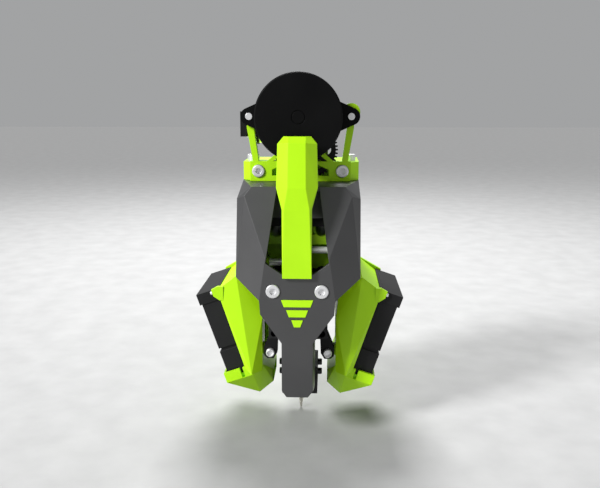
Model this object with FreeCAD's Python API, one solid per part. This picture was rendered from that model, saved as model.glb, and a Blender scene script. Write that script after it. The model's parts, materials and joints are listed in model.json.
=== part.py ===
import FreeCAD, Part
import math
import os

# Direct-drive hotend assembly for a belt-driven printer: a flat round motor on top drives a small
# geared extruder, and a faceted shell below carries the hotend, its fan and two part-cooling blowers.
# Frame: X to the right, Y to the back, Z up, millimetres. The origin is the centre of the four
# carriage bolts on the flat rear face.

# Driving dimensions
CARRIAGE_PITCH = 20.0      # square pattern of the four carriage bolts
CARRIAGE_HOLE_R = 1.7
FILAMENT_Y = -27.0         # filament path, X = 0
FIT = 0.05                 # radial play of a hole over its pin or screw
M3_R = 1.5

MOTOR_Z = 58.0             # motor axis
MOTOR_R = 18.0
MOTOR_FACE_Y = -37.0
FLANGE_T = 2.5
MOTOR_BACK_Y = -57.5
EAR_X = 22.0               # half of the 44 mm ear spacing
EAR_R = 3.7
EAR_SLOPE = 24.0           # degrees, how fast the ears widen toward the body
SHAFT_R = 2.5

GEAR_MODULE = 0.5
PINION_TEETH = 12
WHEEL_TEETH = 48
HOB_X = 4.0                # drive shaft axis, right of the filament
HOB_R = 3.6
GEAR_DISTANCE = GEAR_MODULE * (PINION_TEETH + WHEEL_TEETH) / 2
HOB_Z = MOTOR_Z - math.sqrt(GEAR_DISTANCE ** 2 - HOB_X ** 2)

BASE_Z0, BASE_Z1 = 29.9, 38.0      # extruder base block
PLATE_Y0, PLATE_Y1 = -37.0, -33.0  # extruder front plate
ARM_PIVOT = (-8.0, 34.4)           # idler arm hinge, X and Z
STUD_Y, STUD_Z = -17.5, 49.5       # tension screw axis

SHELL_T = 2.0
NOSE_Y = -67.0             # front face of the nose
NOSE_SCREW = (10.0, -12.0)
CORE_HALF_X = 14.0
CORE_FRONT_Y = -42.0
ROD_Y, LEFT_ROD_Z, RIGHT_ROD_Z = -45.0, -4.6, 0.9   # belt tension rods

FAN_CENTRE_Z = -22.3       # 25 mm fan behind the nose
FAN_HALF = 12.5
FAN_Y0, FAN_Y1 = -59.5, -49.5
SINK_R = 11.0
BLOCK_Z0, BLOCK_Z1 = -67.0, -54.0
SIDE_SCREW_Y, SIDE_SCREW_Z = -31.1, (-55.7, -60.3)
NOZZLE_TIP_Z = -80.4

BLOWER_TILT = 19.0         # degrees from upright
BLOWER_X, BLOWER_Z = 35.5, -15.7   # upper inner corner of the right blower
BLOWER_SIZE, BLOWER_T = 40.0, 10.0
BLOWER_Y0, BLOWER_Y1 = -49.0, -9.0
WHEEL_Y, WHEEL_DROP = -29.0, 17.5  # blower wheel centre, in the blower's own frame
LUG = (12.6, -44.3)
EAR_SCREW = (37.83, -49.9, -17.63)  # small screw in the tip of the duct's ear
EAR_SCREW_AXIS = (-math.cos(math.radians(BLOWER_TILT)), 0, math.sin(math.radians(BLOWER_TILT)))

X_AXIS, Y_AXIS, Z_AXIS = (1, 0, 0), (0, 1, 0), (0, 0, 1)


# Building blocks
def vec(x, y, z):
    return FreeCAD.Vector(x, y, z)


def box(x0, x1, y0, y1, z0, z1):
    return Part.makeBox(x1 - x0, y1 - y0, z1 - z0, vec(x0, y0, z0))


def rod(point, axis, radius, length):
    return Part.makeCylinder(radius, length, vec(*point), vec(*axis))


def tube(point, axis, outer, inner, length):
    return rod(point, axis, outer, length).cut(rod(point, axis, inner, length))


def prism(points, y0, y1):
    """A solid whose outline in X and Z is carried from y0 to y1."""
    corners = [vec(x, y0, z) for x, z in points]
    face = Part.Face(Part.makePolygon(corners + corners[:1]))
    return face.extrude(vec(0, y1 - y0, 0))


def hull(points):
    """The faceted solid stretched over the points, one flat face per plane."""
    corners = [vec(*p) for p in points]
    middle = sum(corners, vec(0, 0, 0)) * (1.0 / len(corners))
    faces, seen = [], set()
    for i in range(len(corners)):
        for j in range(i + 1, len(corners)):
            for k in range(j + 1, len(corners)):
                normal = (corners[j] - corners[i]).cross(corners[k] - corners[i])
                if normal.Length < 1e-6:
                    continue
                normal.normalize()
                if normal.dot(corners[i] - middle) < 0:
                    normal = normal * -1
                heights = [normal.dot(c - corners[i]) for c in corners]
                flat = frozenset(n for n, h in enumerate(heights) if abs(h) < 1e-4)
                if max(heights) > 1e-4 or flat in seen:
                    continue
                seen.add(flat)
                faces.append(rim_face([corners[n] for n in flat], normal))
    return Part.makeSolid(Part.makeShell(faces))


def rim_face(corners, normal):
    """A flat face through the corners, taken in order around the normal."""
    centre = sum(corners, vec(0, 0, 0)) * (1.0 / len(corners))
    right = (corners[0] - centre).normalize()
    up = normal.cross(right)
    corners = sorted(corners, key=lambda c: math.atan2((c - centre).dot(up), (c - centre).dot(right)))
    kept = []
    for n, corner in enumerate(corners):
        before, after = corners[n - 1], corners[(n + 1) % len(corners)]
        if (corner - before).cross(after - corner).Length > 1e-6:
            kept.append(corner)
    return Part.Face(Part.makePolygon(kept + kept[:1]))


def mirrored_hull(points):
    """A hull of the points and their mirror images in the middle plane."""
    return hull([p for p in points] + [(-x, y, z) for x, y, z in points if abs(x) > 1e-6])


def mirrored(shape):
    return shape.mirror(vec(0, 0, 0), vec(1, 0, 0))


def both_sides(shape):
    return Part.makeCompound([shape, mirrored(shape)])


def seated(shape, point, axis):
    """A shape built at the origin along +Z, moved to the point and turned along the axis."""
    copy = shape.copy()
    copy.Placement = FreeCAD.Placement(vec(*point), FreeCAD.Rotation(vec(0, 0, 1), vec(*axis)))
    return copy


def hexagon(across, height):
    reach = across / math.sqrt(3)
    corners = [vec(reach * math.cos(n * math.pi / 3), reach * math.sin(n * math.pi / 3), 0) for n in range(6)]
    return Part.Face(Part.makePolygon(corners + corners[:1])).extrude(vec(0, 0, height))


def screw(point, axis, length, radius=M3_R, head_r=2.75, head_h=3.0):
    """A socket screw: the head stands in front of the point, and the shank runs along the axis."""
    head = rod((0, 0, -head_h), Z_AXIS, head_r, head_h)
    head = head.makeChamfer(0.3, [e for e in head.Edges if abs(e.CenterOfMass.z + head_h) < 1e-6][:1])
    head = head.cut(hexagon(radius * 1.67, head_h * 0.55).translate(vec(0, 0, -head_h)))
    return seated(head.fuse(rod((0, 0, 0), Z_AXIS, radius, length)).removeSplitter(), point, axis)


def gear(teeth, width, bore):
    """A spur gear along +Z with one tooth centred on +X."""
    pitch_r = GEAR_MODULE * teeth / 2
    profile = ((-0.27, -0.55), (-0.13, 0.45), (0.13, 0.45), (0.27, -0.55))
    corners = []
    for n in range(teeth):
        for turn, height in profile:
            angle = 2 * math.pi * (n + turn) / teeth
            radius = pitch_r + height * 2 * GEAR_MODULE
            corners.append(vec(radius * math.cos(angle), radius * math.sin(angle), 0))
    blank = Part.Face(Part.makePolygon(corners + corners[:1])).extrude(vec(0, 0, width))
    return blank.cut(rod((0, 0, 0), Z_AXIS, bore, width))


def turned_gear(teeth, width, bore, x, y, z, tooth_angle):
    """The gear on an axis along +Y at x, z, its first tooth pointing at tooth_angle in the XZ plane."""
    blank = gear(teeth, width, bore)
    blank.rotate(vec(0, 0, 0), vec(1, 0, 0), -90)
    blank.rotate(vec(0, 0, 0), vec(0, 1, 0), -tooth_angle)
    return blank.translate(vec(x, y, z))


def save(name, shape):
    assert shape.isValid() and shape.Solids, name
    solids = shape.Solids
    whole = solids[0] if len(solids) == 1 else Part.makeCompound(solids)
    whole.exportStep("parts/%s.step" % name)
    print("%-22s %2d solid(s) %9.1f mm3" % (name, len(solids), whole.Volume))


# Shell
def front_shell():
    """The grey faceted cowl: shoulders, an open front window, the nose and the snout down to the nozzle."""
    top, front_lean = BASE_Z0, 9.5 / 28.2
    shoulder = mirrored_hull([
        (25.8, -5, top), (25.8, -30, top), (19.4, -57.5, top),
        (22.2, -57.5 - 3.8 * front_lean, top - 3.8), (25.9, -53, 24.4),
        (26.1, -59.5, -8), (26.1, -5, -8), (15.7, -5, -8),
        (15.7, NOSE_Y, -16), (15.7, -57, -16), (13.1, NOSE_Y, 1.7)])
    hollow = mirrored_hull([
        (23.8, -2, top - 2), (23.8, -30, top - 2), (17.8, -55.4, top - 2),
        (20.2, -56.6, 24.6), (23.9, -51.6, 23), (24.1, -56.8, -8), (24.1, -2, -20),
        (24.1, -54, -20), (13.6, NOSE_Y + 2, -17), (13.6, -50, -20), (11.4, NOSE_Y + 2, 1.2)])
    nose = prism([(-15.7, -15.8), (15.7, -15.8), (15.3, -21.9), (6.5, -34.3), (-6.5, -34.3), (-15.3, -21.9)],
                 NOSE_Y, -60)
    nose_hollow = prism([(-13.6, -12), (13.6, -12), (13.3, -21.2), (4.9, -33), (-4.9, -33), (-13.3, -21.2)],
                        NOSE_Y + SHELL_T, -59)
    snout = mirrored_hull([
        (6.5, NOSE_Y, -33), (6.5, NOSE_Y, -55.4), (4.5, NOSE_Y, -58.1),
        (6.9, -60.2, -33), (6.9, -60.2, -57.3), (4.53, -60.2, -60.58)])
    keel = mirrored_hull([
        (6.9, -60.2, -35.4), (6.9, -60.2, -57.3), (4.53, -60.2, -60.58),
        (7.0, -44, -35.4), (7.0, -44, -62), (4.6, -44, -66.5)])
    snout_hollow = mirrored_hull([
        (4.9, NOSE_Y + SHELL_T, -31), (4.9, NOSE_Y + SHELL_T, -54.3), (3.0, NOSE_Y + SHELL_T, -56.2),
        (5.2, -60, -31), (5.3, -43, -34), (5.3, -43, -60.6), (3.3, -43, -64.3)])
    shell = shoulder.cut(hollow).cut(box(-23.9, 23.9, -33, 0, top - 3, top + 1))
    shell = shell.fuse(nose.cut(nose_hollow)).cut(nose_hollow)
    shell = shell.fuse(snout.fuse(keel)).cut(snout_hollow)
    bosses = both_sides(rod((NOSE_SCREW[0], NOSE_Y + 1, NOSE_SCREW[1]), Y_AXIS, 3.2, 6.4))
    shell = shell.fuse(bosses.Solids)
    window = prism([(-8.5, 31), (8.5, 31), (13, -0.3), (6.4, -4.8), (-6.4, -4.8), (-13, -0.3)], -75, -55.3)
    shell = shell.cut(window)
    for side in (-1, 1):
        point = (side * NOSE_SCREW[0], NOSE_Y - 1, NOSE_SCREW[1])
        shell = shell.cut(rod(point, Y_AXIS, 3.1, 2.2)).cut(rod(point, Y_AXIS, M3_R + FIT, 12))
    for bar in badge_bars(NOSE_Y - 1, NOSE_Y + 0.6, 0.05):
        shell = shell.cut(bar)
    return shell.removeSplitter()


def badge_bars(y0, y1, grow=0.0):
    """Three short bars, each narrower than the one above."""
    bars = []
    for row in range(3):
        half, lower = 6.6 - 2.1 * row + grow, 1.1
        z1 = -15.6 - 4.3 * row + grow
        z0 = z1 - 3.0 - 2 * grow
        bars.append(prism([(-half, z1), (half, z1), (half - lower, z0), (lower - half, z0)], y0, y1))
    return bars


def centre_spine():
    """The bright bar down the middle, bevelled at the top and flush with the nose at its foot."""
    head = mirrored_hull([
        (3.4, -66.3, 50.7), (5.5, -64.5, 50.7), (5.5, -63, 50.7),
        (3.42, -69, 48.3), (7.83, -66, 47.9), (7.83, -62.8, 47.9),
        (3.6, -71, 30.8), (8.3, -68, 30.8), (8.3, -62.8, 30.8)])
    waist = mirrored_hull([
        (3.6, -71, 30.8), (8.3, -68, 30.8), (8.3, -62.8, 30.8),
        (5.1, -70.9, 22.2), (5.97, -70, 22.2), (5.97, -64.6, 22.2)])
    stem = mirrored_hull([
        (5.1, -70.9, 22.2), (5.97, -70, 22.2), (5.97, -64.6, 22.2),
        (5.97, -69, -6.1), (5.97, NOSE_Y - 0.15, -6.1)])
    tongue = box(-5, 5, -66, -50, 24.6, 27.8)
    return head.fuse(waist).fuse(stem).fuse(tongue).removeSplitter()


# Carriage core and belts
def carriage_core():
    """The bright block behind the window that bolts to the carriage and carries everything else."""
    core = box(-CORE_HALF_X, CORE_HALF_X, CORE_FRONT_Y, 0, -8, 27.8)
    core = core.fuse([
        box(-CORE_HALF_X, CORE_HALF_X, -32.9, 0, 20, BASE_Z0),
        box(-23.7, 23.7, -14, 0, -7.9, BASE_Z0),
        box(-CORE_HALF_X, CORE_HALF_X, -14, 0, -30, 0),
        box(18.2, 23.7, -30, -12, 6, BASE_Z0), box(-23.7, -18.2, -30, -12, 6, BASE_Z0),
        box(-4.6, 4.6, -48, CORE_FRONT_Y, -8, 3.6), box(-13.9, 13.9, -46, CORE_FRONT_Y, 3.6, 7.8),
        box(-20.3, -13.2, -48, -36, -8, -1.9), box(13.2, 20.3, -48, -36, -2, 3.7)])
    for x in (-CARRIAGE_PITCH / 2, CARRIAGE_PITCH / 2):
        ring = rod((x, -44.6, CARRIAGE_PITCH / 2), Y_AXIS, 3.9, 4)
        core = core.fuse(ring.cut(box(-20, 20, -45, CORE_FRONT_Y, 11.3, 20)))
    for x in (-CARRIAGE_PITCH / 2, CARRIAGE_PITCH / 2):
        for z in (-CARRIAGE_PITCH / 2, CARRIAGE_PITCH / 2):
            core = core.cut(rod((x, -60, z), Y_AXIS, CARRIAGE_HOLE_R, 70))
            core = core.cut(rod((x, -60, z), Y_AXIS, 3.1, 54))
    core = core.cut(rod((0, FILAMENT_Y, -10), Z_AXIS, 2.0 + FIT, 50))
    core = core.cut(box(-30, 30, -11, -9, -3.5, 3.5))
    for x in (-21.7, 21.7):
        core = core.cut(rod((x, -25, 15), Z_AXIS, M3_R + FIT, 20))
    for side in (-1, 1):
        core = core.cut(rod((side * 10.5, -20, -14.3), Y_AXIS, M3_R + FIT, 12))
        core = core.cut(rod((side * 12.5, -20, -24), Y_AXIS, M3_R + FIT, 12))
    core = core.cut(rod((-23, ROD_Y, LEFT_ROD_Z), X_AXIS, M3_R + FIT, 22))
    core = core.cut(rod((1, ROD_Y, RIGHT_ROD_Z), X_AXIS, M3_R + FIT, 22))
    return core.removeSplitter()


def belt_clamp_plate():
    """The dark bar that presses both belt ends. It comes off to reach the upper carriage bolts."""
    return box(-13.8, 13.8, -45.2, CORE_FRONT_Y - FIT, 11.35, 15.2)


def window_baffle():
    """The dark grey wedge that closes the upper half of the window, with a ridge down its middle."""
    rear = CORE_FRONT_Y - FIT
    return mirrored_hull([(13.8, rear, 15.25), (13.8, rear, 27.5), (13.8, -43.5, 27.5), (13.8, -45.4, 15.25),
                          (0, -46, 27.5), (0, -49.5, 15.25)])


def belt_tension_rods():
    left = screw((-20.4, ROD_Y, LEFT_ROD_Z), X_AXIS, 18, head_r=2.7)
    right = screw((20.4, ROD_Y, RIGHT_ROD_Z), (-1, 0, 0), 18, head_r=2.7)
    return Part.makeCompound([left, right])


def ptfe_tube():
    return tube((0, FILAMENT_Y, -34), Z_AXIS, 2.0, 1.0, 70)


# Extruder
def extruder_base():
    """The bright block on top of the shell with the bearing posts of the drive shaft."""
    outline = [vec(x, y, BASE_Z0) for x, y in
               ((-22, PLATE_Y1), (22, PLATE_Y1), (25.8, -29), (25.8, -3), (-25.8, -3), (-25.8, -29))]
    block = Part.Face(Part.makePolygon(outline + outline[:1])).extrude(vec(0, 0, BASE_Z1 - BASE_Z0))
    front, rear = (-32.6, -30.1), (-23.9, -21.4)
    posts = [box(8.2, 12, front[0], -13, BASE_Z1 - 1, 52), box(2, 12, rear[1] - 0.5, -13, BASE_Z1 - 1, 52.5),
             box(-3.2, 12, front[0], rear[1], 48.4, 52)]
    for y0, y1 in (front, rear):
        posts.append(rod((HOB_X, y0, HOB_Z), Y_AXIS, 5.0, y1 - y0))
        posts.append(box(-0.8, 9, y0, y1, BASE_Z1 - 1, HOB_Z))
    posts.append(Part.makeCone(2.6, 1.5, 2.2, vec(0, FILAMENT_Y, BASE_Z1 - 0.1)))
    block = block.fuse(posts)
    block = block.cut(box(-13.4, -4.3, -31.8, -22.2, 30.9, 40))
    block = block.cut(rod((ARM_PIVOT[0], -34, ARM_PIVOT[1]), Y_AXIS, M3_R, 15))
    block = block.cut(rod((HOB_X, -35, HOB_Z), Y_AXIS, 4.0, 14))
    block = block.cut(rod((0, FILAMENT_Y, 20), Z_AXIS, 2.0 + FIT, 16.2))
    block = block.cut(rod((0, FILAMENT_Y, 30), Z_AXIS, 1.1, 30))
    block = block.cut(rod((0, FILAMENT_Y, 50), Z_AXIS, 3.0, 5))
    block = block.cut(rod((1, STUD_Y, STUD_Z), X_AXIS, M3_R, 8))
    for side in (-1, 1):
        block = block.cut(rod((side * 21.7, -25, 20), Z_AXIS, M3_R + FIT, 20))
        block = block.cut(rod((side * 18.35, -40, 34.4), Y_AXIS, M3_R + FIT, 19))
    return block.removeSplitter()


def extruder_front_plate():
    """The bright open frame between the base and the motor ears, with a pocket for the reduction gear."""
    plate = box(-22, 22, PLATE_Y0, PLATE_Y1, 30, 38.7)
    pieces = [rod((0, PLATE_Y0, MOTOR_Z), Y_AXIS, 7.0, 4.0)]
    for side in (-1, 1):
        strut = [(18.1, 38), (20.6, 38), (23.2, 53), (23.2, 56), (20.4, 56), (20.2, 53)]
        brace = [(12.6, 38), (15.4, 38), (8.6, 43.8), (5.8, 52), (3.6, 52), (6.8, 43)]
        arm = [(4, 60), (4, 56), (20, 56.2), (20, 59.8)]
        for outline in (strut, brace, arm):
            pieces.append(prism([(side * x, z) for x, z in outline], PLATE_Y0, PLATE_Y1))
        pieces.append(rod((side * EAR_X, PLATE_Y0, MOTOR_Z), Y_AXIS, 3.7, 4.0))
    pieces.append(rod((EAR_X, PLATE_Y0, MOTOR_Z + 1.8), Y_AXIS, 3.8, 4.0))
    plate = plate.fuse(pieces)
    plate = plate.cut(rod((HOB_X, -36.2, HOB_Z), Y_AXIS, 13.0, 10))
    plate = plate.cut(rod((0, -36.2, MOTOR_Z), Y_AXIS, 4.4, 10)).cut(rod((0, -40, MOTOR_Z), Y_AXIS, 4.0, 10))
    for side in (-1, 1):
        outline = [(12.4, 32.4), (12.4, 35.0), (7.6, 37.2), (2.5, 37.2), (2.5, 32.4)]
        plate = plate.cut(prism([(side * x, z) for x, z in outline], -40, -30))
        screw_at = (side * 18.35, PLATE_Y0 - 1, 34.4)
        plate = plate.cut(rod(screw_at, Y_AXIS, 2.85, 3.2)).cut(rod(screw_at, Y_AXIS, M3_R + FIT, 9))
        plate = plate.cut(rod((side * EAR_X, -40, MOTOR_Z), Y_AXIS, M3_R + FIT, 10))
    return plate.removeSplitter()


def idler_arm():
    """The dark lever: a fork around the idler, a slotted wing under the spring and a thumb tab."""
    px, pz = ARM_PIVOT
    arm = rod((px, -31.6, pz), Y_AXIS, 3.2, 9.2)
    arm = arm.fuse([
        box(-11.2, -7.9, -31.6, -22.4, pz, 53.5), box(-11.2, -7.9, -22.6, -13.5, 44, 52),
        box(-8.5, -4.7, -31.6, -22.4, 36, 45.7), rod((-HOB_X, -31.6, HOB_Z), Y_AXIS, 2.4, 9.2),
        box(-24.6, -9, -31.6, -25, 50.5, 53.5), box(-27, -24.2, -29.6, -22.3, 49, 60)])
    arm = arm.cut(box(-7.9, 2, -30.1, -23.9, 37.7, 50))
    arm = arm.cut(rod((px, -33, pz), Y_AXIS, M3_R + FIT, 12))
    arm = arm.cut(rod((-HOB_X, -33, HOB_Z), Y_AXIS, M3_R, 12))
    return arm.cut(box(-12, -7, STUD_Y - 1.9, STUD_Y + 1.9, 47.2, 55)).removeSplitter()


def grooved_roller(x, bore):
    """A wheel that pinches the filament, with a groove around its middle."""
    wheel = tube((x, -29.8, HOB_Z), Y_AXIS, HOB_R, bore, 5.6)
    groove = Part.makeTorus(HOB_R + 0.35, 0.9, vec(x, FILAMENT_Y, HOB_Z), vec(*Y_AXIS))
    return wheel.cut(groove)


def drive_hob():
    """The knurled steel wheel: fine notches run across its rim."""
    wheel = grooved_roller(HOB_X, SHAFT_R)
    notch_count = 24
    for n in range(notch_count):
        angle = 2 * math.pi * n / notch_count
        point = (HOB_X + HOB_R * math.cos(angle), -30, HOB_Z + HOB_R * math.sin(angle))
        wheel = wheel.cut(rod(point, Y_AXIS, 0.18, 6))
    return wheel


def tension_spring():
    """A coil spring around the tension screw, between the arm and the cup."""
    length, wire, radius = 7.1, 0.4, 2.7
    helix = Part.makeHelix(1.4, length - 2 * wire, radius)
    start = Part.Wire(Part.makeCircle(wire, vec(radius, 0, 0), vec(0, 1, 0)))
    coil = Part.Wire(helix).makePipeShell([start], True, True)
    return seated(coil, (-11.25 - wire, STUD_Y, STUD_Z), (-1, 0, 0))


def spring_cup():
    cup = tube((-19.6, STUD_Y, STUD_Z), X_AXIS, 3.9, M3_R + FIT, 0.9)
    return cup


def tension_knob():
    """A fluted thumb nut."""
    knob = rod((-24.0, STUD_Y, STUD_Z), X_AXIS, 4.4, 4.35)
    for n in range(10):
        angle = 2 * math.pi * n / 10
        point = (-25, STUD_Y + 4.9 * math.cos(angle), STUD_Z + 4.9 * math.sin(angle))
        knob = knob.cut(rod(point, X_AXIS, 0.95, 7))
    return knob.cut(rod((-26, STUD_Y, STUD_Z), X_AXIS, M3_R + FIT, 10))


def reduction_gear():
    """The large gear on the drive shaft, with six round lightening holes."""
    toward_pinion = math.degrees(math.atan2(MOTOR_Z - HOB_Z, -HOB_X))
    wheel = turned_gear(WHEEL_TEETH, 2.8, SHAFT_R, HOB_X, -35.9, HOB_Z, toward_pinion)
    for n in range(6):
        angle = math.pi * n / 3
        point = (HOB_X + 7.2 * math.cos(angle), -37, HOB_Z + 7.2 * math.sin(angle))
        wheel = wheel.cut(rod(point, Y_AXIS, 2.2, 5))
    return wheel


def pinion_gear():
    toward_wheel = math.degrees(math.atan2(HOB_Z - MOTOR_Z, HOB_X))
    half_tooth = 180.0 / PINION_TEETH
    return turned_gear(PINION_TEETH, 2.8, 1.6, 0, -35.9, MOTOR_Z, toward_wheel + half_tooth)


# Motor
def motor_outline(y0, y1):
    """A disc with two rounded ears that widen toward it."""
    slope, root_x = math.radians(EAR_SLOPE), 15.0
    tip_x, tip_z = EAR_X + EAR_R * math.sin(slope), EAR_R * math.cos(slope)
    root_z = tip_z + (tip_x - root_x) * math.tan(slope)
    disc = rod((0, y0, MOTOR_Z), Y_AXIS, MOTOR_R, y1 - y0)
    for side in (-1, 1):
        corners = [(side * x, MOTOR_Z + z)
                   for x, z in ((root_x, root_z), (tip_x, tip_z), (tip_x, -tip_z), (root_x, -root_z))]
        disc = disc.fuse([prism(corners, y0, y1), rod((side * EAR_X, y0, MOTOR_Z), Y_AXIS, EAR_R, y1 - y0)])
    return disc.removeSplitter()


def motor_flange():
    flange = motor_outline(MOTOR_FACE_Y - FLANGE_T, MOTOR_FACE_Y)
    flange = flange.cut(rod((0, -45, MOTOR_Z), Y_AXIS, 5.0, 10))
    for side in (-1, 1):
        flange = flange.cut(rod((side * EAR_X, -45, MOTOR_Z), Y_AXIS, M3_R + FIT, 10))
    return flange


def motor_can():
    """The black round case with a small raised ring around the middle of its back."""
    face = MOTOR_FACE_Y - FLANGE_T
    can = rod((0, MOTOR_BACK_Y, MOTOR_Z), Y_AXIS, MOTOR_R, face - MOTOR_BACK_Y)
    can = can.makeChamfer(0.5, [e for e in can.Edges if abs(e.CenterOfMass.y - MOTOR_BACK_Y) < 1e-6][:1])
    can = can.cut(rod((0, MOTOR_BACK_Y + 1, MOTOR_Z), Y_AXIS, MOTOR_R - 1, 30))
    can = can.fuse(tube((0, MOTOR_BACK_Y + 0.9, MOTOR_Z), Y_AXIS, 6.2, 5.0, 2.2))
    return can.cut(tube((0, MOTOR_BACK_Y - 0.1, MOTOR_Z), Y_AXIS, 2.9, 2.5, 0.4))


def motor_stator():
    """The wound iron ring with eight open slots toward the rotor."""
    ring = tube((0, -53.5, MOTOR_Z), Y_AXIS, MOTOR_R - 1, 9.6, 11.5)
    for n in range(8):
        slot = box(8, 14, -54, -41, -1.2, 1.2)
        slot.rotate(vec(0, 0, 0), vec(0, 1, 0), 45 * n + 22.5)
        ring = ring.cut(slot.translate(vec(0, 0, MOTOR_Z)))
    return ring


def motor_rotor():
    drum = rod((0, -53.5, MOTOR_Z), Y_AXIS, 9.3, 11.5)
    shaft = rod((0, -56.3, MOTOR_Z), Y_AXIS, SHAFT_R - FIT, 18.0)
    nose = rod((0, -39, MOTOR_Z), Y_AXIS, 1.6, 5.9)
    return drum.fuse([shaft, nose])


def motor_bearings():
    rear = tube((0, MOTOR_BACK_Y + 1.0, MOTOR_Z), Y_AXIS, 5.0, SHAFT_R, 2.0)
    front = tube((0, MOTOR_FACE_Y - FLANGE_T, MOTOR_Z), Y_AXIS, 5.0, SHAFT_R, 2.3)
    return Part.makeCompound([rear, front])


# Hotend
def heatsink():
    """A finned aluminium column whose grooved neck is held by the clamp."""
    z = [-8.1, -11.6, -17.0, -43.0]
    at = lambda low: (0, FILAMENT_Y, low)
    body = rod(at(z[1]), Z_AXIS, 8.0, z[0] - z[1])
    body = body.fuse([rod(at(z[2]), Z_AXIS, 6.0, z[1] - z[2]), rod(at(z[3]), Z_AXIS, 4.2, z[2] - z[3])])
    fin_count, fin_t = 9, 1.1
    pitch = (z[2] - z[3] - fin_t) / (fin_count - 1)
    body = body.fuse([rod(at(z[3] + n * pitch), Z_AXIS, SINK_R, fin_t) for n in range(fin_count)])
    body = body.cut(rod(at(-34), Z_AXIS, 2.0 + FIT, 30)).cut(rod(at(-44), Z_AXIS, 1.0, 12))
    return body.cut(rod(at(-43.1), Z_AXIS, 1.9, 7.1)).removeSplitter()


def heat_break():
    thread = rod((0, FILAMENT_Y, -43), Z_AXIS, 1.85, 6.9).fuse(rod((0, FILAMENT_Y, -54), Z_AXIS, 1.6, 11))
    thread = thread.fuse(rod((0, FILAMENT_Y, -60), Z_AXIS, 2.9, 6))
    return thread.cut(rod((0, FILAMENT_Y, -61), Z_AXIS, 1.0, 26)).removeSplitter()


def heater_block():
    block = box(-8, 8, -42, -20, BLOCK_Z0, BLOCK_Z1)
    block = block.cut(rod((0, FILAMENT_Y, -70), Z_AXIS, 2.95, 20))
    block = block.cut(rod((-9, -35.3, -60.5), X_AXIS, 3.0 + FIT, 18))
    block = block.cut(rod((-9, -22.2, -60.5), X_AXIS, M3_R, 12))
    for side in (-1, 1):
        for z in SIDE_SCREW_Z:
            block = block.cut(rod((side * 9, SIDE_SCREW_Y, z), (-side, 0, 0), 1.0, 5.1))
    return block


def block_side_screws():
    screws = []
    for side in (-1, 1):
        for z in SIDE_SCREW_Z:
            point = (side * 8, SIDE_SCREW_Y, z)
            screws.append(screw(point, (-side, 0, 0), 4, radius=0.95, head_r=1.5, head_h=2.0))
    return Part.makeCompound(screws)


def nozzle():
    """The slim brass nozzle: thread, hexagon and a long taper to the tip."""
    tip = Part.makeCone(0.42, 1.2, 5.6, vec(0, FILAMENT_Y, NOZZLE_TIP_Z))
    taper = Part.makeCone(1.2, 3.0, 3.8, vec(0, FILAMENT_Y, NOZZLE_TIP_Z + 5.6))
    collar = seated(hexagon(7.0, 4.0), (0, FILAMENT_Y, BLOCK_Z0 - 4.05), Z_AXIS)
    collar = collar.fuse(rod((0, FILAMENT_Y, BLOCK_Z0 - 4.4), Z_AXIS, 3.0, 1))
    thread = rod((0, FILAMENT_Y, BLOCK_Z0 - 0.1), Z_AXIS, 2.9, 7)
    whole = tip.fuse([taper, rod((0, FILAMENT_Y, NOZZLE_TIP_Z + 9.2), Z_AXIS, 3.0, 1.2), collar, thread])
    whole = whole.cut(rod((0, FILAMENT_Y, NOZZLE_TIP_Z + 3), Z_AXIS, 0.8, 30))
    return whole.cut(rod((0, FILAMENT_Y, NOZZLE_TIP_Z - 1), Z_AXIS, 0.2, 6)).removeSplitter()


def clamp_half(y0, y1):
    """One half of the dark split clamp that grips the heatsink's neck."""
    half = box(-13, 13, y0, y1, -16.9, -8.1)
    half = half.cut(rod((0, FILAMENT_Y, -20), Z_AXIS, 6.0 + FIT, 20))
    half = half.cut(rod((0, FILAMENT_Y, -11.65), Z_AXIS, 8.0 + FIT, 10))
    for side in (-1, 1):
        half = half.cut(rod((side * 10.5, -40, -14.3), Y_AXIS, M3_R + FIT, 40))
    return half


def heatsink_duct():
    """The dark adapter that leads the fan's air to the fins, with two ears for the blower ducts."""
    low, high = FAN_CENTRE_Z - FAN_HALF, FAN_CENTRE_Z + FAN_HALF
    duct = box(-FAN_HALF, FAN_HALF, -49.4, -38.6, low, high)
    duct = duct.cut(rod((0, -50, FAN_CENTRE_Z), Y_AXIS, 10.6, 6)).cut(box(-9, 9, -45, -38, -33, -18))
    for side in (-1, 1):
        ear = [(9.2, low - 0.1), (12.6, low - 0.1), (15.4, -42), (15.4, -45.8),
               (13.9, -47.1), (11.2, -47.1), (9.6, -44.5)]
        link = [(8.6, low + 1), (12.5, low + 1), (12.5, low - 1.5), (9.2, low - 1.5)]
        duct = duct.fuse([prism([(side * x, z) for x, z in ear], -50.2, -46.2),
                          prism([(side * x, z) for x, z in link], -49.3, -46.2)])
        duct = duct.cut(rod((side * LUG[0], -52, LUG[1]), Y_AXIS, M3_R + FIT, 12))
        for z in (FAN_CENTRE_Z - 10.3, FAN_CENTRE_Z + 10.3):
            duct = duct.cut(rod((side * 10, -52, z), Y_AXIS, M3_R + FIT, 12))
    return duct.removeSplitter()


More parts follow.
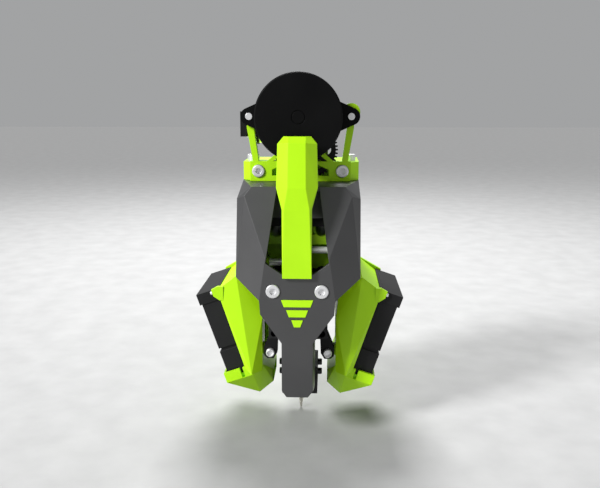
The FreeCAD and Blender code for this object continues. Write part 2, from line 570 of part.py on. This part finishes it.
def hotend_fan_frame():
    low, high = FAN_CENTRE_Z - FAN_HALF, FAN_CENTRE_Z + FAN_HALF
    frame = box(-FAN_HALF, FAN_HALF, FAN_Y0, FAN_Y1, low, high)
    frame = frame.cut(rod((0, FAN_Y0 - 1, FAN_CENTRE_Z), Y_AXIS, 11.7, 12))
    for n in range(3):
        spoke = box(4, 12, FAN_Y1 - 1.2, FAN_Y1, -0.9, 0.9)
        spoke.rotate(vec(0, 0, 0), vec(0, 1, 0), 120 * n + 30)
        frame = frame.fuse(spoke.translate(vec(0, 0, FAN_CENTRE_Z)))
    frame = frame.fuse([rod((0, FAN_Y1 - 1.2, FAN_CENTRE_Z), Y_AXIS, 5.4, 1.2),
                        rod((0, FAN_Y1 - 6, FAN_CENTRE_Z), Y_AXIS, 1.0, 6)])
    for x in (-10, 10):
        for z in (FAN_CENTRE_Z - 10.3, FAN_CENTRE_Z + 10.3):
            frame = frame.cut(rod((x, FAN_Y0 - 1, z), Y_AXIS, M3_R + FIT, 12))
    return frame.removeSplitter()


def hotend_fan_wheel():
    """A hub with seven slanted blades."""
    hub = rod((0, FAN_Y0 + 0.8, FAN_CENTRE_Z), Y_AXIS, 5.4, 7.6)
    hub = hub.cut(rod((0, FAN_Y1 - 7, FAN_CENTRE_Z), Y_AXIS, 1.0 + FIT, 8))
    for n in range(7):
        blade = box(4.8, 11.2, -3.4, 3.4, -0.4, 0.4)
        blade.rotate(vec(0, 0, 0), vec(1, 0, 0), 38)
        blade.rotate(vec(0, 0, 0), vec(0, 1, 0), 360.0 * n / 7)
        hub = hub.fuse(blade.translate(vec(0, FAN_Y0 + 4.6, FAN_CENTRE_Z)))
    return hub


# Blowers and ducts, all drawn for the right side. A blower is drawn upright in its own frame, inner
# face at X = 0 and top at Z = 0, and then leaned out.
def leaned(shape):
    copy = shape.copy()
    copy.rotate(vec(0, 0, 0), vec(0, 1, 0), BLOWER_TILT)
    return copy.translate(vec(BLOWER_X, 0, BLOWER_Z))


def leaned_point(out, y, up):
    tilt = math.radians(BLOWER_TILT)
    return (BLOWER_X + out * math.cos(tilt) + up * math.sin(tilt), y,
            BLOWER_Z - out * math.sin(tilt) + up * math.cos(tilt))


def blower_case():
    """The black outer half: a scroll chamber, the outlet neck and two corner holes."""
    case = box(1.3, BLOWER_T + 0.3, BLOWER_Y0, BLOWER_Y1, -5, 0)
    neck = box(1.3, BLOWER_T - 0.4, BLOWER_Y0 + 0.6, BLOWER_Y1 - 6, -BLOWER_SIZE, -28)
    case = case.fuse([box(1.3, BLOWER_T - 0.6, BLOWER_Y0 + 0.4, BLOWER_Y1 - 0.4, -26.4, -4), neck,
                      box(1.3, BLOWER_T - 1.4, BLOWER_Y0 + 1.2, BLOWER_Y1 - 6, -29, -26)])
    case = case.fuse(rod((1.3, WHEEL_Y, -WHEEL_DROP), X_AXIS, 16.6, BLOWER_T - 2.7))
    case = case.cut(rod((1, WHEEL_Y, -WHEEL_DROP), X_AXIS, 15.4, 7.4))
    case = case.cut(box(1, 7.8, BLOWER_Y0 + 2.4, BLOWER_Y1 - 8, -41, -22))
    case = case.cut(rod((1, WHEEL_Y, -WHEEL_DROP), X_AXIS, 10.5, 12))
    hub = rod((7.4, WHEEL_Y, -WHEEL_DROP), X_AXIS, 6.0, 1.8)
    spokes = [box(8.4, 9.2, -0.8, 0.8, 4, 11.5) for _ in range(3)]
    for n, spoke in enumerate(spokes):
        spoke.rotate(vec(0, 0, 0), vec(1, 0, 0), 120 * n)
        spoke.translate(vec(0, WHEEL_Y, -WHEEL_DROP))
    axle = rod((3, WHEEL_Y, -WHEEL_DROP), X_AXIS, 1.0, 6.0)
    case = case.fuse([hub, axle] + spokes)
    for y, z in blower_screw_places():
        case = case.cut(rod((0, y, z), X_AXIS, 1.3, 12)).cut(rod((BLOWER_T - 1.4, y, z), X_AXIS, 2.3, 3))
    return case.removeSplitter()


def blower_screw_places():
    return ((BLOWER_Y0 + 3.2, -3.0), (BLOWER_Y1 - 3.2, -3.0))


def blower_cover():
    """The thin inner lid with the round intake."""
    lid = box(0, 1.2, BLOWER_Y0, BLOWER_Y1, -26.4, 0).fuse(
        box(0, 1.2, BLOWER_Y0 + 0.6, BLOWER_Y1 - 6, -BLOWER_SIZE, -26.4))
    lid = lid.fuse(rod((0, WHEEL_Y, -WHEEL_DROP), X_AXIS, 16.6, 1.2))
    lid = lid.cut(rod((-1, WHEEL_Y, -WHEEL_DROP), X_AXIS, 10.5, 4))
    for y, z in blower_screw_places():
        lid = lid.cut(rod((-1, y, z), X_AXIS, 1.3, 12))
    return lid.removeSplitter()


def blower_wheel():
    """A drum of thin blades around a cup-shaped hub."""
    hub = rod((2.2, WHEEL_Y, -WHEEL_DROP), X_AXIS, 7.0, 5.0)
    hub = hub.fuse(rod((6.2, WHEEL_Y, -WHEEL_DROP), X_AXIS, 14.4, 1.0))
    hub = hub.cut(rod((2, WHEEL_Y, -WHEEL_DROP), X_AXIS, 1.0 + FIT, 8))
    blade_count = 20
    for n in range(blade_count):
        blade = box(2.2, 6.4, -0.3, 0.3, 10.8, 14.3)
        blade.rotate(vec(0, 0, 12.5), vec(1, 0, 0), 25)
        blade.rotate(vec(0, 0, 0), vec(1, 0, 0), 360.0 * n / blade_count)
        hub = hub.fuse(blade.translate(vec(0, WHEEL_Y, -WHEEL_DROP)))
    return hub


def duct_chamber(inset, y_back):
    """The faceted fairing between the blower and the nose, shrunk by the inset."""
    top_out = leaned_point(0.5 - inset, -50 + inset, -0.6 - inset)
    low_out = leaned_point(0.5 - 1.4 * inset, -52 + inset, -37.8 + inset)
    ridge_top = (27.2, -50.5 + inset, -9.7 - 1.4 * inset)
    ridge_low = (20.6, -54.6 + 1.6 * inset, -53.4 + 1.5 * inset)
    inner = [(17.2 + inset, -48 + inset, -17.4 - inset), (16.1 + inset, -49.6 + inset, -29),
             (16.1 + inset, -51 + inset, -52.6 + inset)]
    front = [top_out, low_out, ridge_top, ridge_low] + inner
    back = [(x, y_back, z) for x, _, z in [top_out, low_out, ridge_top] + inner]
    return hull(front + back)


def duct():
    """The bright duct: fairing, mounting ear, rear plate, blower collar and the chute to the nozzle."""
    body = duct_chamber(0, -7.5)
    ear = [(33, -14.6), (35.6, -14.6), (38.3, -16.2), (37.32, -19.04), (34.6, -20.8), (33, -20.8)]
    rear_plate = [(17.2, -17.4), (27.2, -9.7), (38.2, -16.0), (37.4, -19.4), (34.2, -21),
                  (25, -50.5), (16.1, -52.6)]
    collar = leaned(box(-1.6, 10.9, -50.6, -7.6, -42, -37.5))
    collar_foot = [leaned_point(out, y, -42) for out in (-1.6, 10.9) for y in (-50.6, -7.6)]
    chute = hull(collar_foot + [
        (18.4, -41, -67), (18.4, -19, -67), (12.4, -37, -63.2), (12.4, -18, -63.2),
        (12.4, -37, -57.5), (12.4, -18, -57.5), (16.1, -50.4, -50), (16.1, -9, -50)])
    body = body.fuse([prism(ear, -50.7, -49.1), prism(rear_plate, BLOWER_Y1 + 0.1, -6.4), collar, chute])
    lug = rod((LUG[0], -46.1, LUG[1]), Y_AXIS, 2.7, 3.5)
    tab = box(10, 17, -16, -14.1, -27, -21)
    body = body.fuse([lug, box(LUG[0], 17, -46.1, -42.6, -46.6, -42), tab])

    inner_foot = [leaned_point(out, y, -41.5) for out in (1.2, 8.6) for y in (-46, -18)]
    chute_hollow = hull(inner_foot + [
        (18.2, -40, -65.3), (18.2, -20, -65.3), (11, -36, -62.6), (11, -19, -62.6),
        (11, -36, -58.1), (11, -19, -58.1), (18.5, -45, -56), (18.5, -16, -56)])
    body = body.cut(duct_chamber(1.5, -10.3))
    body = body.cut(leaned(rod((-4, WHEEL_Y, -WHEEL_DROP), X_AXIS, 10.5, 5)))
    body = body.cut(box(15, 18.5, -40, -20, -48, -30))
    body = body.cut(leaned(box(-0.1, 10.1, BLOWER_Y0 - 0.1, BLOWER_Y1 + 0.1, -40.1, 2)))
    body = body.cut(chute_hollow)
    body = body.cut(leaned(box(2.0, 3.4, -52, -49.0, -41.9, -36)))
    body = body.cut(rod(EAR_SCREW, EAR_SCREW_AXIS, 0.65, 3.2))
    body = body.cut(rod((LUG[0], -52, LUG[1]), Y_AXIS, M3_R + FIT, 12))
    body = body.cut(rod((12.5, -20, -24), Y_AXIS, M3_R + FIT, 12))
    return body.removeSplitter()


def blower_screws():
    """Two corner screws in each blower, their heads sunk in its outer face."""
    screws = []
    for y, z in blower_screw_places():
        one = screw((BLOWER_T - 1.4, y, z), (-1, 0, 0), 8.4, radius=1.25, head_r=2.2, head_h=1.5)
        screws.append(leaned(Part.makeCompound([one])))
    return Part.makeCompound(screws)


def make_everything():
    save("front_shell", front_shell())
    save("centre_spine", centre_spine())
    save("badge_inlay", Part.makeCompound(badge_bars(NOSE_Y - 0.25, NOSE_Y + 0.6)))
    nose_head = screw((NOSE_SCREW[0], NOSE_Y + 1.2, NOSE_SCREW[1]), Y_AXIS, 24, head_r=2.9, head_h=1.9)
    save("nose_screws", both_sides(nose_head))
    save("carriage_core", carriage_core())
    save("belt_clamp_plate", belt_clamp_plate())
    save("window_baffle", window_baffle())
    save("belt_tension_rods", belt_tension_rods())
    save("ptfe_tube", ptfe_tube())

    save("extruder_base", extruder_base())
    save("extruder_front_plate", extruder_front_plate())
    save("plate_screws", both_sides(screw((18.35, PLATE_Y0 + 2.2, 34.4), Y_AXIS, 12)))
    save("base_screws", both_sides(screw((21.7, -25, BASE_Z1), (0, 0, -1), 18)))
    save("reduction_gear", reduction_gear())
    save("drive_shaft", rod((HOB_X, -35.9, HOB_Z), Y_AXIS, SHAFT_R, 14.4))
    save("drive_hob", drive_hob())
    bearing = tube((HOB_X, -32.6, HOB_Z), Y_AXIS, 4.0, SHAFT_R + FIT, 2.5)
    save("drive_bearings", Part.makeCompound([bearing, bearing.translated(vec(0, 8.7, 0))]))
    save("idler_arm", idler_arm())
    save("idler_hinge_pin", rod((ARM_PIVOT[0], -33, ARM_PIVOT[1]), Y_AXIS, M3_R, 13.5))
    save("idler_roller", grooved_roller(-HOB_X, M3_R + FIT))
    save("idler_pin", rod((-HOB_X, -31.6, HOB_Z), Y_AXIS, M3_R, 9.2))
    save("tension_stud", rod((-25.6, STUD_Y, STUD_Z), X_AXIS, M3_R, 34))
    save("tension_spring", tension_spring())
    save("spring_cup", spring_cup())
    save("tension_knob", tension_knob())
    save("inlet_fitting", tube((0, FILAMENT_Y, 50), Z_AXIS, 3.0, 1.1, 2).fuse(
        tube((0, FILAMENT_Y, 52), Z_AXIS, 4.2, 2.0, 4)))

    save("motor_can", motor_can())
    save("motor_flange", motor_flange())
    save("motor_stator", motor_stator())
    save("motor_rotor", motor_rotor())
    save("motor_bearings", motor_bearings())
    save("motor_screws", both_sides(screw((EAR_X, PLATE_Y1, MOTOR_Z), (0, -1, 0), 6.85)))
    save("pinion_gear", pinion_gear())

    save("heatsink", heatsink())
    save("heat_break", heat_break())
    save("heater_block", heater_block())
    save("heater_cartridge", rod((-7.9, -35.3, -60.5), X_AXIS, 3.0, 15.8))
    save("thermistor", rod((-9.0, -22.2, -60.5), X_AXIS, M3_R, 11))
    save("block_side_screws", block_side_screws())
    save("nozzle", nozzle())
    save("clamp_front", clamp_half(-38.0, -27.1))
    save("clamp_rear", clamp_half(-27.0, -14.0))
    save("clamp_screws", both_sides(screw((10.5, -38.0, -14.3), Y_AXIS, 28, head_r=1.9, head_h=0.6)))
    save("heatsink_duct", heatsink_duct())
    save("hotend_fan_frame", hotend_fan_frame())
    save("hotend_fan_wheel", hotend_fan_wheel())

    pieces = {"duct": duct(), "blower_case": leaned(blower_case()), "blower_cover": leaned(blower_cover()),
              "blower_wheel": leaned(blower_wheel())}
    for name, right in pieces.items():
        save(name + "_right", right)
        save(name + "_left", mirrored(right))
    save("blower_screws", both_sides(blower_screws()))
    save("ear_screws", both_sides(screw(EAR_SCREW, EAR_SCREW_AXIS, 3, radius=0.6, head_r=0.8, head_h=1.0)))
    lug_screw = screw((LUG[0], -50.2, LUG[1]), Y_AXIS, 8, head_r=1.9, head_h=1.6)
    rear_screw = screw((12.5, -16.0, -24), Y_AXIS, 8, head_r=2.3, head_h=1.6)
    save("duct_screws", both_sides(Part.makeCompound([lug_screw, rear_screw])))


os.makedirs("parts", exist_ok=True)
make_everything()
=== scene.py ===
# %% [markdown]
# # A direct-drive hotend assembly
# The real object is the tool head of a 3D printer. A flat round motor turns a small geared extruder,
# and a faceted cowl below holds the hotend, its fan and two blowers that cool the printed part. The
# design comes in as a fixed frame of named parts. This lesson lights it, gives every surface its finish
# and cuts the threads that a maker would see.

# %% Load the design
import json
import math

import bpy
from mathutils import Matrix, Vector


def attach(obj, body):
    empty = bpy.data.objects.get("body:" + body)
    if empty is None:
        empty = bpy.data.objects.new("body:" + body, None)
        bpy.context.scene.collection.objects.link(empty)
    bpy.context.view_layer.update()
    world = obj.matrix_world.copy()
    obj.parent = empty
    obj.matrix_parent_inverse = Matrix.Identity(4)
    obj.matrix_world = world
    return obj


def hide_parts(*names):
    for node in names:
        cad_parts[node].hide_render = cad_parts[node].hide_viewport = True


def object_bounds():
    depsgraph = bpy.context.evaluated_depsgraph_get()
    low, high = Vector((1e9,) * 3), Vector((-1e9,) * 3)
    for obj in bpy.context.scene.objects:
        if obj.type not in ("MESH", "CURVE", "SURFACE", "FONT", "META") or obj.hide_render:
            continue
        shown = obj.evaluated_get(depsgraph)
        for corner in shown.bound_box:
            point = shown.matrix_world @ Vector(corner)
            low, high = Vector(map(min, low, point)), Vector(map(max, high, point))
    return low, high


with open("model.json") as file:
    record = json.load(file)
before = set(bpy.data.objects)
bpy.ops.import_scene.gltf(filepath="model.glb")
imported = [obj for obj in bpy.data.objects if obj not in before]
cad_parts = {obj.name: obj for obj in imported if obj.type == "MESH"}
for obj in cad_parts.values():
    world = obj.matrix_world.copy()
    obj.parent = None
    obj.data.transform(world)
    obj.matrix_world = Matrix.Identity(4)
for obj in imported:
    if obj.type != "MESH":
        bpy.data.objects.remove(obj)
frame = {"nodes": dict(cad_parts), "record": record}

MM = 0.001
nodes = frame["nodes"]
record = frame["record"]
slot_of = {part["node"]: part["material_slot"] for part in record["subparts"]}
body_of = {node: body for body, members in record["behaviour"]["bodies"].items() for node in members}
cad_low, cad_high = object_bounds()
print("design box in mm:", [round(v / MM, 1) for v in cad_low], [round(v / MM, 1) for v in cad_high])

# %% [markdown]
# ## Camera
# The camera looks slightly down at the front from 35 cm away and a little to the right. The lens is
# a mild telephoto, so the nose doesn't swell and the blowers keep their size.

# %% Camera
CAMERA_AT = (13.19 * MM, -343.41 * MM, 63.66 * MM)
LOOK_DOWN, LOOK_LEFT = 11.39, 2.486      # degrees
LENS, SENSOR = 42, 36                    # mm, inside the camera

bpy.ops.object.camera_add(location=CAMERA_AT,
                          rotation=(math.radians(90 - LOOK_DOWN), 0, math.radians(LOOK_LEFT)))
camera = bpy.context.object
camera.name = "front_camera"
camera.data.lens = LENS
camera.data.sensor_width = SENSOR
bpy.context.scene.camera = camera
print("camera looks", LOOK_DOWN, "degrees down through a", LENS, "mm lens")

# %% [markdown]
# ## Floor and light
# A pale floor just under the nozzle takes a soft shadow. The main light is a wide, far one, high on
# the left and in front: the facets that face left are bright, those that face right fall into shade,
# and the floor is lit evenly all the way back. A softbox behind and above the object lights its top
# edges. The sky is about as bright as the far end of the floor, so the horizon hardly shows. The standard
# view keeps the lime plastic as strong as it really is.

# %% Floor and light
FLOOR_SIZE, FLOOR_GAP = 8, 0.4 * MM      # metres
MIDDLE = (0, -0.03, -0.01)               # metres, about the centre of the object
SKY_COLOUR, SKY_STRENGTH = (0.86, 0.87, 0.88, 1), 0.42

bpy.ops.mesh.primitive_plane_add(size=FLOOR_SIZE, location=(0, 0, cad_low[2] - FLOOR_GAP))
floor = bpy.context.object
floor.name = "floor"


def aim_light(kind, name, place, power, spread):
    """A soft light that faces the object. The spread is a size in metres, or degrees for a sun."""
    bpy.ops.object.light_add(type=kind, location=place)
    light = bpy.context.object
    light.name = name
    light.data.energy = power
    if kind == "SUN":
        light.data.angle = math.radians(spread)
    else:
        light.data.size = spread
    light.rotation_euler = (Vector(place) - Vector(MIDDLE)).to_track_quat("Z", "Y").to_euler()


aim_light("SUN", "key_light", (-0.70, -0.56, 0.50), 4.0, 14)
aim_light("AREA", "rim_light", (-0.05, 0.40, 0.62), 9.0, 0.30)
world = bpy.data.worlds.new("studio")
bpy.context.scene.world = world
world.use_nodes = True
sky = world.node_tree.nodes["Background"]
sky.inputs["Color"].default_value = SKY_COLOUR
sky.inputs["Strength"].default_value = SKY_STRENGTH
bpy.context.scene.view_settings.view_transform = "Standard"

# %% [markdown]
# ## Moulded and coated plastic
# Moulded plastic is never one flat colour: the gloss changes slowly across a part, the colour a
# little with it, and the tool leaves a fine grain. Two noise patterns do this. A slow one drives
# colour and roughness, and a fine one raises the grain through a bump. No real edge is quite sharp, so
# the shading is rounded a little at every edge, and the edge catches a thin line of light.

# %% A finish for plastic and coatings
EDGE_RADIUS, EDGE_SAMPLES = 0.25 * MM, 6
SLOW_SCALE = 55                          # spots per metre


def new_material(name):
    """An empty principled material, its node tree and its shader."""
    material = bpy.data.materials.new(name)
    material.use_nodes = True
    return material, material.node_tree, material.node_tree.nodes["Principled BSDF"]


def pattern(tree, scale, detail, stretch=(1, 1, 1)):
    """A noise pattern fixed to the object. The scale is in spots per metre, more along a larger stretch."""
    place = tree.nodes.new("ShaderNodeTexCoord")
    mapping = tree.nodes.new("ShaderNodeMapping")
    mapping.inputs["Scale"].default_value = stretch
    noise = tree.nodes.new("ShaderNodeTexNoise")
    noise.inputs["Scale"].default_value = scale
    noise.inputs["Detail"].default_value = detail
    tree.links.new(place.outputs["Object"], mapping.inputs["Vector"])
    tree.links.new(mapping.outputs["Vector"], noise.inputs["Vector"])
    return noise.outputs["Fac"]


def blend_colours(tree, factor, dark, light):
    """A colour between dark and light. Most of a noise lies between 0.3 and 0.7."""
    ramp = tree.nodes.new("ShaderNodeValToRGB")
    for element, position, colour in zip(ramp.color_ramp.elements, (0.3, 0.7), (dark, light)):
        element.position = position
        element.color = (*colour, 1)
    tree.links.new(factor, ramp.inputs["Fac"])
    return ramp.outputs["Color"]


def blend_values(tree, factor, low, high):
    """A plain number between low and high."""
    spread = tree.nodes.new("ShaderNodeMapRange")
    spread.inputs["To Min"].default_value = low
    spread.inputs["To Max"].default_value = high
    tree.links.new(factor, spread.inputs["Value"])
    return spread.outputs["Result"]


def raise_grain(tree, shader, height, depth, strength=0.25):
    """Fine relief from the pattern, over edges that catch the light as if they were rounded."""
    rounded = tree.nodes.new("ShaderNodeBevel")
    rounded.samples = EDGE_SAMPLES
    rounded.inputs["Radius"].default_value = EDGE_RADIUS
    bump = tree.nodes.new("ShaderNodeBump")
    tree.links.new(rounded.outputs["Normal"], bump.inputs["Normal"])
    bump.inputs["Strength"].default_value = strength
    bump.inputs["Distance"].default_value = depth
    tree.links.new(height, bump.inputs["Height"])
    tree.links.new(bump.outputs["Normal"], shader.inputs["Normal"])


def plastic(name, dark, light, rough, specular=0.5, grain=2400, depth=0.015):
    """Moulded plastic or a sprayed coat, with slow colour and gloss and a grain that is depth mm deep."""
    material, tree, shader = new_material(name)
    shader.inputs["Specular IOR Level"].default_value = specular
    slow = pattern(tree, SLOW_SCALE, 4)
    tree.links.new(blend_colours(tree, slow, dark, light), shader.inputs["Base Color"])
    tree.links.new(blend_values(tree, slow, *rough), shader.inputs["Roughness"])
    raise_grain(tree, shader, pattern(tree, grain, 3), depth * MM)
    return material


finishes = {
    "grey_shell": plastic("grey_shell", (0.030, 0.030, 0.0312), (0.036, 0.036, 0.0372),
                          rough=(0.36, 0.44), specular=0.95),
    "lime_plastic": plastic("lime_plastic", (0.43, 0.81, 0.004), (0.47, 0.87, 0.006),
                            rough=(0.34, 0.42), specular=0.30),
    "black_plastic": plastic("black_plastic", (0.004, 0.004, 0.0045), (0.007, 0.007, 0.0075),
                             rough=(0.42, 0.55), specular=0.2),
    "black_metal": plastic("black_metal", (0.0015, 0.0015, 0.0017), (0.003, 0.003, 0.0032),
                           rough=(0.42, 0.52), specular=0.10, grain=4200, depth=0.01),
    "fan_plastic": plastic("fan_plastic", (0.010, 0.010, 0.0105), (0.015, 0.015, 0.016),
                           rough=(0.50, 0.62), specular=0.22, grain=1700, depth=0.03),
    "ptfe": plastic("ptfe", (0.78, 0.78, 0.76), (0.86, 0.86, 0.84),
                    rough=(0.35, 0.45)),
    "floor": plastic("floor", (0.36, 0.36, 0.36), (0.40, 0.40, 0.40),
                     rough=(0.60, 0.70), specular=0.15, grain=300),
}
floor.data.materials.append(finishes["floor"])
print("plastic finishes:", sorted(finishes))

# %% [markdown]
# ## Metal
# Turned and plated metal is bright because it mirrors the sky and the lamps. The steel is also partly matte
# with a near-white colour, a painted sheen that keeps screws bright where there is little to mirror. Fine
# tool lines run one way, so the noise is finer across them than along them. It drives the gloss and a very
# shallow bump.

# %% A finish for metal
LINE_SCALE, TINT_SCALE = 900, 120        # spots per metre
LINE_DEPTH, LINE_STRENGTH = 0.006 * MM, 0.2


def metal(name, dark, light, rough, metallic=1.0, stretch=(1, 12, 1)):
    """Machined metal with fine lines along the axes that have the least stretch."""
    material, tree, shader = new_material(name)
    shader.inputs["Metallic"].default_value = metallic
    lines = pattern(tree, LINE_SCALE, 3, stretch)
    slow = pattern(tree, TINT_SCALE, 3)
    tree.links.new(blend_colours(tree, slow, dark, light), shader.inputs["Base Color"])
    tree.links.new(blend_values(tree, lines, *rough), shader.inputs["Roughness"])
    raise_grain(tree, shader, lines, LINE_DEPTH, LINE_STRENGTH)
    return material


finishes.update({
    # partly painted sheen: a near-white matte share keeps the screws bright besides what the metal mirrors
    "steel": metal("steel", (0.82, 0.82, 0.83), (0.94, 0.94, 0.95),
                   rough=(0.30, 0.44), metallic=0.72),
    "hard_steel": metal("hard_steel", (0.40, 0.40, 0.42), (0.52, 0.52, 0.54),
                        rough=(0.25, 0.38), stretch=(1, 20, 1)),
    "aluminium": metal("aluminium", (0.68, 0.68, 0.70), (0.80, 0.80, 0.82),
                       rough=(0.28, 0.40), stretch=(1, 1, 14)),
    "brass": metal("brass", (0.60, 0.57, 0.52), (0.72, 0.69, 0.63),
                   rough=(0.22, 0.32), stretch=(1, 1, 14)),
    "iron": metal("iron", (0.14, 0.08, 0.05), (0.22, 0.14, 0.09),
                  rough=(0.45, 0.6), stretch=(1, 25, 1)),
})
print("metal finishes:", [name for name, finish in finishes.items()
                          if finish.node_tree.nodes["Principled BSDF"].inputs["Metallic"].default_value])

# %% [markdown]
# ## Who wears what
# Each part takes the finish of its material slot. A few differ from their neighbours: the block behind
# the window is a darker green, painted shade for the shade that falls inside the window; the wedge above
# it is a lighter grey, painted light for the light that falls on it; the belt rods are near white and
# half matte, a painted sheen; and the heater block and its side screws are dark.

# %% Give every part its finish
own_finish = {
    # painted shade: a darker green than the other lime parts, for the shade that falls on the block inside
    # the window
    "carriage_core": plastic("core_lime_painted_shade", (0.20, 0.38, 0.002), (0.24, 0.44, 0.004),
                             rough=(0.38, 0.48), specular=0.30),
    # painted light: a lighter grey than the shell, for the light that falls on the wedge
    "window_baffle": plastic("baffle_grey_painted_light", (0.10, 0.10, 0.103), (0.12, 0.12, 0.123),
                             rough=(0.34, 0.44), specular=0.6),
    "heater_block": plastic("blackened_block", (0.010, 0.010, 0.010), (0.018, 0.017, 0.016),
                            rough=(0.40, 0.55), specular=0.4),
    "block_side_screws": metal("dark_steel", (0.045, 0.045, 0.048), (0.07, 0.07, 0.075),
                               rough=(0.30, 0.42)),
    # painted sheen: a near-white base and only half metallic, so the rods read bright even where they
    # mirror only shade
    "belt_tension_rods": metal("rods_painted_sheen", (0.90, 0.90, 0.91), (0.97, 0.97, 0.98),
                               rough=(0.24, 0.32), metallic=0.45, stretch=(1, 12, 12)),
}
for name, node in nodes.items():
    node.data.materials.clear()
    node.data.materials.append(own_finish.get(name, finishes[slot_of[name]]))
print("parts finished:", len(nodes), "with their own finish:", sorted(own_finish))

# %% [markdown]
# ## Threads
# The tension screw is a long stud, threaded from end to end. A thread's outline zigzags between crest
# and root, one tooth per pitch. Extruding one corner along that zigzag draws it, and spinning it about
# the rod's axis makes a solid. Its teeth are rings, which at this size look the same as a helix.

# %% The threaded stud
PITCH, THREAD_DEPTH = 0.5 * MM, 0.27 * MM
THREAD_SIDES = 28                        # facets round the rod
MERGE_GAP = 0.002 * MM                   # corners nearer than this are one


def start_at(point, name):
    """A new mesh with a single corner, left in edit mode with that corner selected."""
    bpy.ops.object.select_all(action="DESELECT")
    bpy.ops.mesh.primitive_plane_add(size=MM)
    piece = bpy.context.object
    piece.name = name
    bpy.ops.object.mode_set(mode="EDIT")
    bpy.ops.mesh.select_all(action="SELECT")
    bpy.ops.mesh.merge(type="CENTER")
    bpy.ops.transform.translate(value=point)
    return piece


def threaded_rod(name, left, right, radius):
    """A threaded rod along X between two points on its axis."""
    piece = start_at(left, name)
    root = radius - THREAD_DEPTH
    teeth = int((right[0] - left[0]) / PITCH)
    half = (right[0] - left[0]) / teeth / 2
    moves = [(0, 0, root)] + [(half, 0, THREAD_DEPTH), (half, 0, -THREAD_DEPTH)] * teeth + [(0, 0, -root)]
    for move in moves:
        bpy.ops.mesh.extrude_region_move(TRANSFORM_OT_translate={"value": move})
    bpy.ops.mesh.select_all(action="SELECT")
    bpy.ops.mesh.spin(steps=THREAD_SIDES, angle=math.tau, center=left, axis=(1, 0, 0))
    bpy.ops.mesh.select_all(action="SELECT")
    bpy.ops.mesh.remove_doubles(threshold=MERGE_GAP)
    bpy.ops.mesh.normals_make_consistent(inside=False)
    bpy.ops.object.mode_set(mode="OBJECT")
    # the steel finish carries a painted sheen in its near-white matte share
    piece.data.materials.append(finishes["steel"])
    return piece


def box_of(node):
    """The low and the high corner of a node's box."""
    corners = [node.matrix_world @ Vector(corner) for corner in node.bound_box]
    return [min(c[i] for c in corners) for i in range(3)], [max(c[i] for c in corners) for i in range(3)]


stud_low, stud_high = box_of(nodes["tension_stud"])
axis_y, axis_z = (stud_low[1] + stud_high[1]) / 2, (stud_low[2] + stud_high[2]) / 2
stud = threaded_rod("tension_stud_thread", (stud_low[0], axis_y, axis_z), (stud_high[0], axis_y, axis_z),
                    (stud_high[2] - stud_low[2]) / 2)
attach(stud, body_of["tension_stud"])
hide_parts("tension_stud")
print("thread faces:", len(stud.data.polygons))
